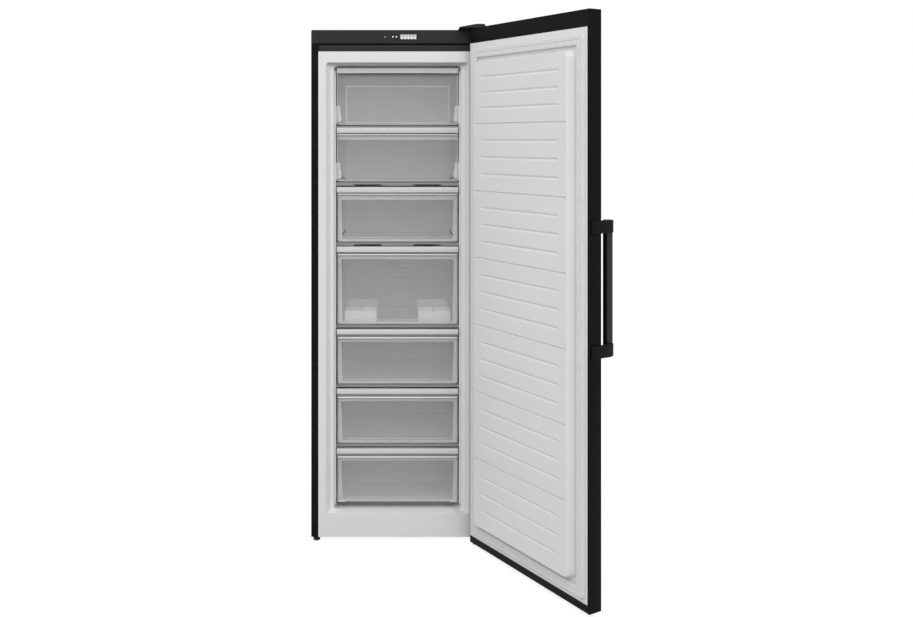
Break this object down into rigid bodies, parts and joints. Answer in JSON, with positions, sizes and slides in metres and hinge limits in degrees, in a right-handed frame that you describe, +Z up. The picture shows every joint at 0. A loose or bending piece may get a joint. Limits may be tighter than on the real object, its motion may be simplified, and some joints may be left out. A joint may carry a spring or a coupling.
{
  "type": "upright freezer",
  "caption": "Tall upright freezer, door open: right-hinged door with bar handle, white lined cabinet with fold-down flaps and clear pull-out drawers.",
  "frame": {"origin": "centre of the front left levelling foot, where it stands on the floor", "axes": "+X to the cabinet's right as one looks at its front, +Y to its back, +Z up"},
  "size_m": [0.936, 1.1797, 1.7738],
  "materials": {
    "black_steel": "satin black paint",
    "black_plastic": "satin black moulding",
    "zinc_steel": "bare zinc-coated sheet",
    "white_plastic": "smooth off-white",
    "pale_foam": "pale rigid foam",
    "display_plastic": "clear window",
    "board_green": "green circuit board",
    "shelf_plastic": "light grey moulding",
    "bare_aluminium": "bare metal",
    "clear_plastic": "clear, lightly smoked",
    "strip_plastic": "light grey moulding",
    "tray_plastic": "milky white",
    "seal_rubber": "soft pale grey"
  },
  "bodies": {
    "cabinet": {"side_panel_right": "black_steel", "side_panel_left": "black_steel", "top_panel": "black_plastic", "back_panel": "zinc_steel", "liner": "white_plastic", "cabinet_foam": "pale_foam", "front_crossbar": "black_steel", "control_fascia": "black_plastic", "display_window": "display_plastic", "control_board": "board_green", "shelf_1": "shelf_plastic", "shelf_2": "shelf_plastic", "shelf_3": "shelf_plastic", "shelf_4": "shelf_plastic", "shelf_5": "shelf_plastic", "shelf_6": "shelf_plastic", "evaporator_cover": "white_plastic", "evaporator": "bare_aluminium", "fan_motor": "zinc_steel", "base_pan": "zinc_steel", "cable_gland": "black_plastic", "compressor": "black_steel", "drain_tray": "black_plastic", "condenser_coil": "black_steel", "wall_spacer_left": "black_plastic", "wall_spacer_right": "black_plastic", "top_hinge_bracket": "zinc_steel", "top_hinge_cover": "black_plastic", "bottom_hinge_bracket": "black_steel"},
    "door": {"door_skin": "black_steel", "door_top_cap": "black_plastic", "door_bottom_cap": "black_plastic", "door_liner": "white_plastic", "door_foam": "pale_foam", "door_gasket": "seal_rubber", "handle_bar": "black_steel", "handle_bracket_bottom": "black_steel", "handle_bracket_top": "black_steel"},
    "flap_1": {"flap_panel_1": "clear_plastic", "flap_strip_1": "strip_plastic"},
    "flap_2": {"flap_panel_2": "clear_plastic", "flap_strip_2": "strip_plastic"},
    "drawer_3": {"drawer_tub_3": "clear_plastic", "drawer_strip_3": "strip_plastic"},
    "drawer_4": {"drawer_tub_4": "clear_plastic", "drawer_strip_4": "strip_plastic", "ice_tray_left": "tray_plastic", "ice_tray_right": "tray_plastic"},
    "drawer_5": {"drawer_tub_5": "clear_plastic", "drawer_strip_5": "strip_plastic"},
    "drawer_6": {"drawer_tub_6": "clear_plastic", "drawer_strip_6": "strip_plastic"},
    "drawer_7": {"drawer_tub_7": "clear_plastic", "drawer_strip_7": "strip_plastic"},
    "key": {"set_key": "black_plastic"},
    "fan": {"fan_rotor": "black_plastic"},
    "left_roller": {"roller_left": "black_plastic"},
    "right_roller": {"roller_right": "black_plastic"},
    "left_foot": {"foot_left": "black_plastic"},
    "right_foot": {"foot_right": "black_plastic"}
  },
  "joints": [
    {"name": "door_hinge", "type": "hinge", "parent": "cabinet", "child": "door", "pos_m": [0.5609, -0.0555, 0.9], "axis": [0, 0, 1], "range_deg": [-120.8, 9.2]},
    {"name": "flap_1_hinge", "type": "hinge", "parent": "cabinet", "child": "flap_1", "pos_m": [0.2793, 0.044, 1.44656], "axis": [1, 0, 0], "range_deg": [0, 90]},
    {"name": "flap_2_hinge", "type": "hinge", "parent": "cabinet", "child": "flap_2", "pos_m": [0.2793, 0.044, 1.24871], "axis": [1, 0, 0], "range_deg": [0, 90]},
    {"name": "drawer_3_slide", "type": "slide", "parent": "cabinet", "child": "drawer_3", "axis": [0, -1, 0], "range_m": [0, 0.28]},
    {"name": "drawer_4_slide", "type": "slide", "parent": "cabinet", "child": "drawer_4", "axis": [0, -1, 0], "range_m": [0, 0.28]},
    {"name": "drawer_5_slide", "type": "slide", "parent": "cabinet", "child": "drawer_5", "axis": [0, -1, 0], "range_m": [0, 0.28]},
    {"name": "drawer_6_slide", "type": "slide", "parent": "cabinet", "child": "drawer_6", "axis": [0, -1, 0], "range_m": [0, 0.28]},
    {"name": "drawer_7_slide", "type": "slide", "parent": "cabinet", "child": "drawer_7", "axis": [0, -1, 0], "range_m": [0, 0.18]},
    {"name": "set_key_press", "type": "slide", "parent": "cabinet", "child": "key", "axis": [0, 1, 0], "range_m": [0, 0.001], "stiffness_N_per_m": 200},
    {"name": "fan_spin", "type": "hinge", "parent": "cabinet", "child": "fan", "pos_m": [0.2793, 0.4714, 0.88], "axis": [0, 1, 0], "continuous": true},
    {"name": "left_roller_spin", "type": "hinge", "parent": "cabinet", "child": "left_roller", "pos_m": [0.0168, 0.55, 0.015], "axis": [1, 0, 0], "continuous": true},
    {"name": "right_roller_spin", "type": "hinge", "parent": "cabinet", "child": "right_roller", "pos_m": [0.5418, 0.55, 0.015], "axis": [1, 0, 0], "continuous": true},
    {"name": "left_foot_turn", "type": "hinge", "parent": "cabinet", "child": "left_foot", "pos_m": [0, 0, 0], "axis": [0, 0, 1], "continuous": true},
    {"name": "right_foot_turn", "type": "hinge", "parent": "cabinet", "child": "right_foot", "pos_m": [0.5586, 0, 0], "axis": [0, 0, 1], "continuous": true}
  ]
}
